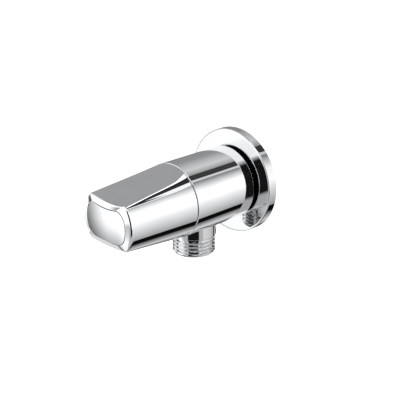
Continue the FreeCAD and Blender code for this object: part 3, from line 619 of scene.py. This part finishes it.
def studio_world():
    """Even white light for matt surfaces and the background, and the cards for polished ones."""
    world = bpy.data.worlds.new("studio")
    world.use_nodes = True
    nodes, links = world.node_tree.nodes, world.node_tree.links
    nodes.clear()
    output = nodes.new("ShaderNodeOutputWorld")
    place = nodes.new("ShaderNodeTexCoord")
    split = nodes.new("ShaderNodeSeparateXYZ")
    links.new(place.outputs["Generated"], split.inputs["Vector"])

    def math_node(kind, a, b):
        node = nodes.new("ShaderNodeMath")
        node.operation = kind
        for socket, value in zip(node.inputs, (a, b)):
            if isinstance(value, (int, float)):
                socket.default_value = value
            else:
                links.new(value, socket)
        return node.outputs[0]

    def blend(share, a, b):
        """b where the share is 1, a where it is 0."""
        return math_node("ADD", math_node("MULTIPLY", a, math_node("SUBTRACT", 1.0, share)),
                         math_node("MULTIPLY", b, share))

    def step(value, start, full):
        """0 at one value, rising smoothly to 1 at the other."""
        node = nodes.new("ShaderNodeMapRange")
        node.interpolation_type = "SMOOTHSTEP"
        for socket, number in (("From Min", start), ("From Max", full)):
            node.inputs[socket].default_value = number
        links.new(value, node.inputs["Value"])
        return node.outputs["Result"]

    def within(value, low, high, edge):
        """1 between two values, falling to 0 over a soft edge centred on each."""
        half = edge / 2
        return math_node("MULTIPLY", step(value, low - half, low + half),
                         step(value, high + half, high - half))

    turn = math_node("ARCTAN2", split.outputs["Z"], split.outputs["X"])
    cards = None
    for first, last, start, end in CARDS:
        spread = nodes.new("ShaderNodeMapRange")
        for socket, number in (("From Min", math.radians(first)), ("From Max", math.radians(last)),
                               ("To Min", start), ("To Max", end)):
            spread.inputs[socket].default_value = number
        links.new(turn, spread.inputs["Value"])
        level = spread.outputs["Result"]
        if cards is None:
            cards = level
            continue
        edge = math.radians(CARD_EDGE) / 2
        begun = step(turn, math.radians(first) - edge, math.radians(first) + edge)
        cards = blend(begun, cards, level)
    compass = math_node("ARCTAN2", split.outputs["Y"], split.outputs["X"])
    front = FRONT_LEVEL
    for left, right, low, high, turn_edge, rise_edge, level in FRONT_PANELS:
        inside = math_node("MULTIPLY",
                           within(compass, math.radians(left), math.radians(right),
                                  math.radians(turn_edge)),
                           within(split.outputs["Z"], low, high, rise_edge))
        front = blend(inside, front, level)
    for first, last, near, far, level in OVERHEAD:
        inside = math_node("MULTIPLY",
                           within(turn, math.radians(first), math.radians(last),
                                  OVERHEAD_TURN_EDGE),
                           within(split.outputs["Y"], near, far, OVERHEAD_REACH_EDGE))
        cards = blend(inside, cards, level)
    reflected = blend(step(split.outputs["Y"], WALLS_START, WALLS_FULL), front, cards)
    path = nodes.new("ShaderNodeLightPath")
    strength = blend(path.outputs["Is Glossy Ray"], EVEN_LIGHT, reflected)
    shine = nodes.new("ShaderNodeBackground")
    shine.inputs["Color"].default_value = grey(1.0)
    links.new(strength, shine.inputs["Strength"])
    links.new(shine.outputs["Background"], output.inputs["Surface"])
    bpy.context.scene.world = world


studio_world()

# Metres: how far the floor lies below the valve, and half its width.
FLOOR_DROP, FLOOR_HALF = 0.30, 3.0
floor_mesh = bpy.data.meshes.new("studio_floor")
floor_mesh.from_pydata(
    [(-FLOOR_HALF, -FLOOR_HALF, -FLOOR_DROP), (FLOOR_HALF, -FLOOR_HALF, -FLOOR_DROP),
     (FLOOR_HALF, FLOOR_HALF, -FLOOR_DROP), (-FLOOR_HALF, FLOOR_HALF, -FLOOR_DROP)],
    [], [(0, 1, 2, 3)])
floor = bpy.data.objects.new("studio_floor", floor_mesh)
bpy.context.scene.collection.objects.link(floor)
floor.visible_glossy = False
dress(floor, surface("pale_floor", 0.0, 0.9, grey(0.95), grey(0.97), 3.0, 0.05, 0.02,
                     specular=0.0))

LAMP_PLACE, LAMP_AIM, LAMP_SIZE, LAMP_WATTS = (0.2, -0.5, 1.2), (0, -0.04, 0), 1.2, 6.0
lamp = bpy.data.lights.new("overhead", "AREA")
lamp.shape = "DISK"
lamp.size = LAMP_SIZE
lamp.energy = LAMP_WATTS
overhead = bpy.data.objects.new("overhead", lamp)
overhead.location = LAMP_PLACE
towards = Vector(LAMP_AIM) - overhead.location
overhead.rotation_euler = towards.to_track_quat("-Z", "Y").to_euler()
overhead.visible_glossy = False
bpy.context.scene.collection.objects.link(overhead)

# ---- camera -----------------------------------------------------------------------------------
CAMERA_PLACE = (0.3236, -0.3413, 0.17109)
CAMERA_RIGHT = (0.6978, 0.7163, 0.0)
CAMERA_UP = (-0.2599, 0.2532, 0.9318)
LENS_MM, SENSOR_MM = 89.3, 36.0
lens = bpy.data.cameras.new("camera")
lens.lens = LENS_MM
lens.sensor_width = SENSOR_MM
camera = bpy.data.objects.new("camera", lens)
right, up = Vector(CAMERA_RIGHT).normalized(), Vector(CAMERA_UP).normalized()
turned = Matrix((right, up, right.cross(up))).transposed().to_4x4()
camera.matrix_world = Matrix.Translation(CAMERA_PLACE) @ turned
bpy.context.scene.collection.objects.link(camera)
bpy.context.scene.camera = camera
bpy.context.scene.view_settings.view_transform = "Standard"
